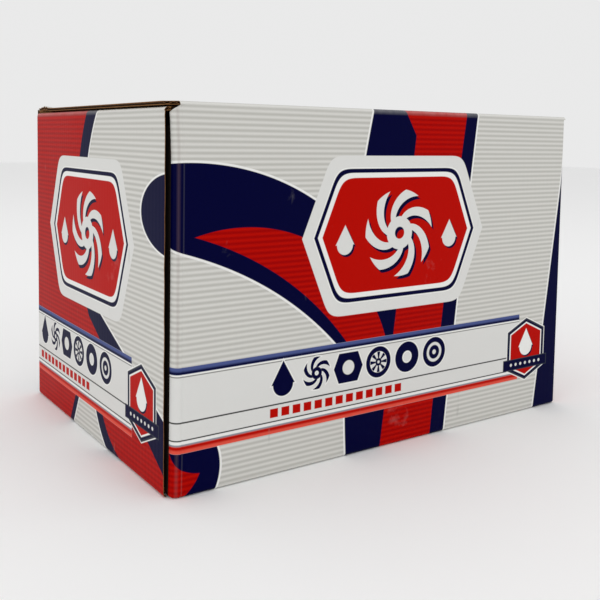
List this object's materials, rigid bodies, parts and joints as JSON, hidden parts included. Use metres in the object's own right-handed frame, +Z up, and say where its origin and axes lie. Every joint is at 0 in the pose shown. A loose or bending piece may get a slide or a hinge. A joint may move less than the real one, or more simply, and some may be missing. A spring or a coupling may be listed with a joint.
{
  "type": "boxed engine water pump",
  "caption": "Printed tuck-top carton of fine-flute board with an engine coolant pump standing on a folded insert: cast housing, shaft bearing, seal, impeller and hub.",
  "frame": {"origin": "centre of the carton's base, on the surface it stands on", "axes": "+X along the long front panel towards the right end, +Y from the front panel to the back, +Z up"},
  "size_m": [0.243, 0.172, 0.163],
  "materials": {
    "printed_board": "litho-laminated fine-flute board, satin varnish outside, kraft inside",
    "kraft_board": "plain brown fine-flute board",
    "cast_aluminium": "shell-cast, lightly blasted, machined faces bright",
    "bearing_steel": "ground",
    "plated_steel": "zinc plated, passivated",
    "turned_steel": "turned, lightly oiled",
    "spring_steel": "drawn stainless wire",
    "brass": "pressed",
    "rubber": "matt moulded",
    "carbon": "lapped carbon-graphite",
    "ceramic": "lapped",
    "cage_nylon": "moulded nylon",
    "cast_iron": "as cast",
    "gasket_fibre": "pressed fibre sheet"
  },
  "bodies": {
    "carton": {"front_panel": "printed_board", "back_panel": "printed_board", "left_end_panel": "printed_board", "right_end_panel": "printed_board", "glue_flap": "printed_board", "inner_bottom_flap": "printed_board", "left_bottom_flap": "printed_board", "right_bottom_flap": "printed_board", "lock_bottom_flap": "printed_board", "insert_deck": "kraft_board", "insert_left_leg": "kraft_board", "insert_right_leg": "kraft_board", "pump_housing": "cast_aluminium", "mounting_gasket": "gasket_fibre", "dowel_sleeves": "turned_steel", "bypass_tube": "plated_steel", "weep_cap": "plated_steel", "bearing_sleeve": "bearing_steel", "rear_bearing_seal": "rubber", "front_bearing_seal": "rubber", "seal_cup": "brass", "seal_carbon_ring": "carbon", "seal_bellows": "rubber", "seal_spring": "spring_steel"},
    "lid": {"lid_panel": "printed_board"},
    "tuck": {"tuck_flap": "printed_board"},
    "left_dust": {"left_dust_flap": "printed_board"},
    "right_dust": {"right_dust_flap": "printed_board"},
    "rotor": {"pump_shaft": "bearing_steel", "drive_hub": "turned_steel", "impeller": "cast_iron", "seal_seat": "ceramic", "seat_boot": "rubber"},
    "rear_ball_set": {"rear_ball_cage": "cage_nylon", "rear_balls": "bearing_steel"},
    "front_ball_set": {"front_ball_cage": "cage_nylon", "front_balls": "bearing_steel"}
  },
  "joints": [
    {"name": "lid_hinge", "type": "hinge", "parent": "carton", "child": "lid", "pos_m": [0, -0.086, 0.1615], "axis": [1, 0, 0], "range_deg": [0, 120]},
    {"name": "tuck_fold", "type": "hinge", "parent": "lid", "child": "tuck", "pos_m": [0, 0.0839, 0.1609], "axis": [1, 0, 0], "range_deg": [0, 52]},
    {"name": "left_dust_fold", "type": "hinge", "parent": "carton", "child": "left_dust", "pos_m": [-0.1215, 0, 0.15915], "axis": [0, -1, 0], "range_deg": [0, 75]},
    {"name": "right_dust_fold", "type": "hinge", "parent": "carton", "child": "right_dust", "pos_m": [0.1215, 0, 0.15915], "axis": [0, 1, 0], "range_deg": [0, 75]},
    {"name": "shaft_spin", "type": "hinge", "parent": "carton", "child": "rotor", "pos_m": [-0.024, 0, 0.1], "axis": [0, 0, 1], "continuous": true},
    {"name": "rear_cage_spin", "type": "hinge", "parent": "carton", "child": "rear_ball_set", "pos_m": [-0.024, 0, 0.093], "axis": [0, 0, 1], "continuous": true},
    {"name": "front_cage_spin", "type": "hinge", "parent": "carton", "child": "front_ball_set", "pos_m": [-0.024, 0, 0.116], "axis": [0, 0, 1], "continuous": true}
  ],
  "couplings": [
    {"joint": "tuck_fold", "follows": "lid_hinge", "ratio": 0.42},
    {"joint": "left_dust_fold", "follows": "lid_hinge", "ratio": 0.6},
    {"joint": "right_dust_fold", "follows": "lid_hinge", "ratio": 0.6},
    {"joint": "rear_cage_spin", "follows": "shaft_spin", "ratio": 0.3665},
    {"joint": "front_cage_spin", "follows": "shaft_spin", "ratio": 0.3665}
  ]
}
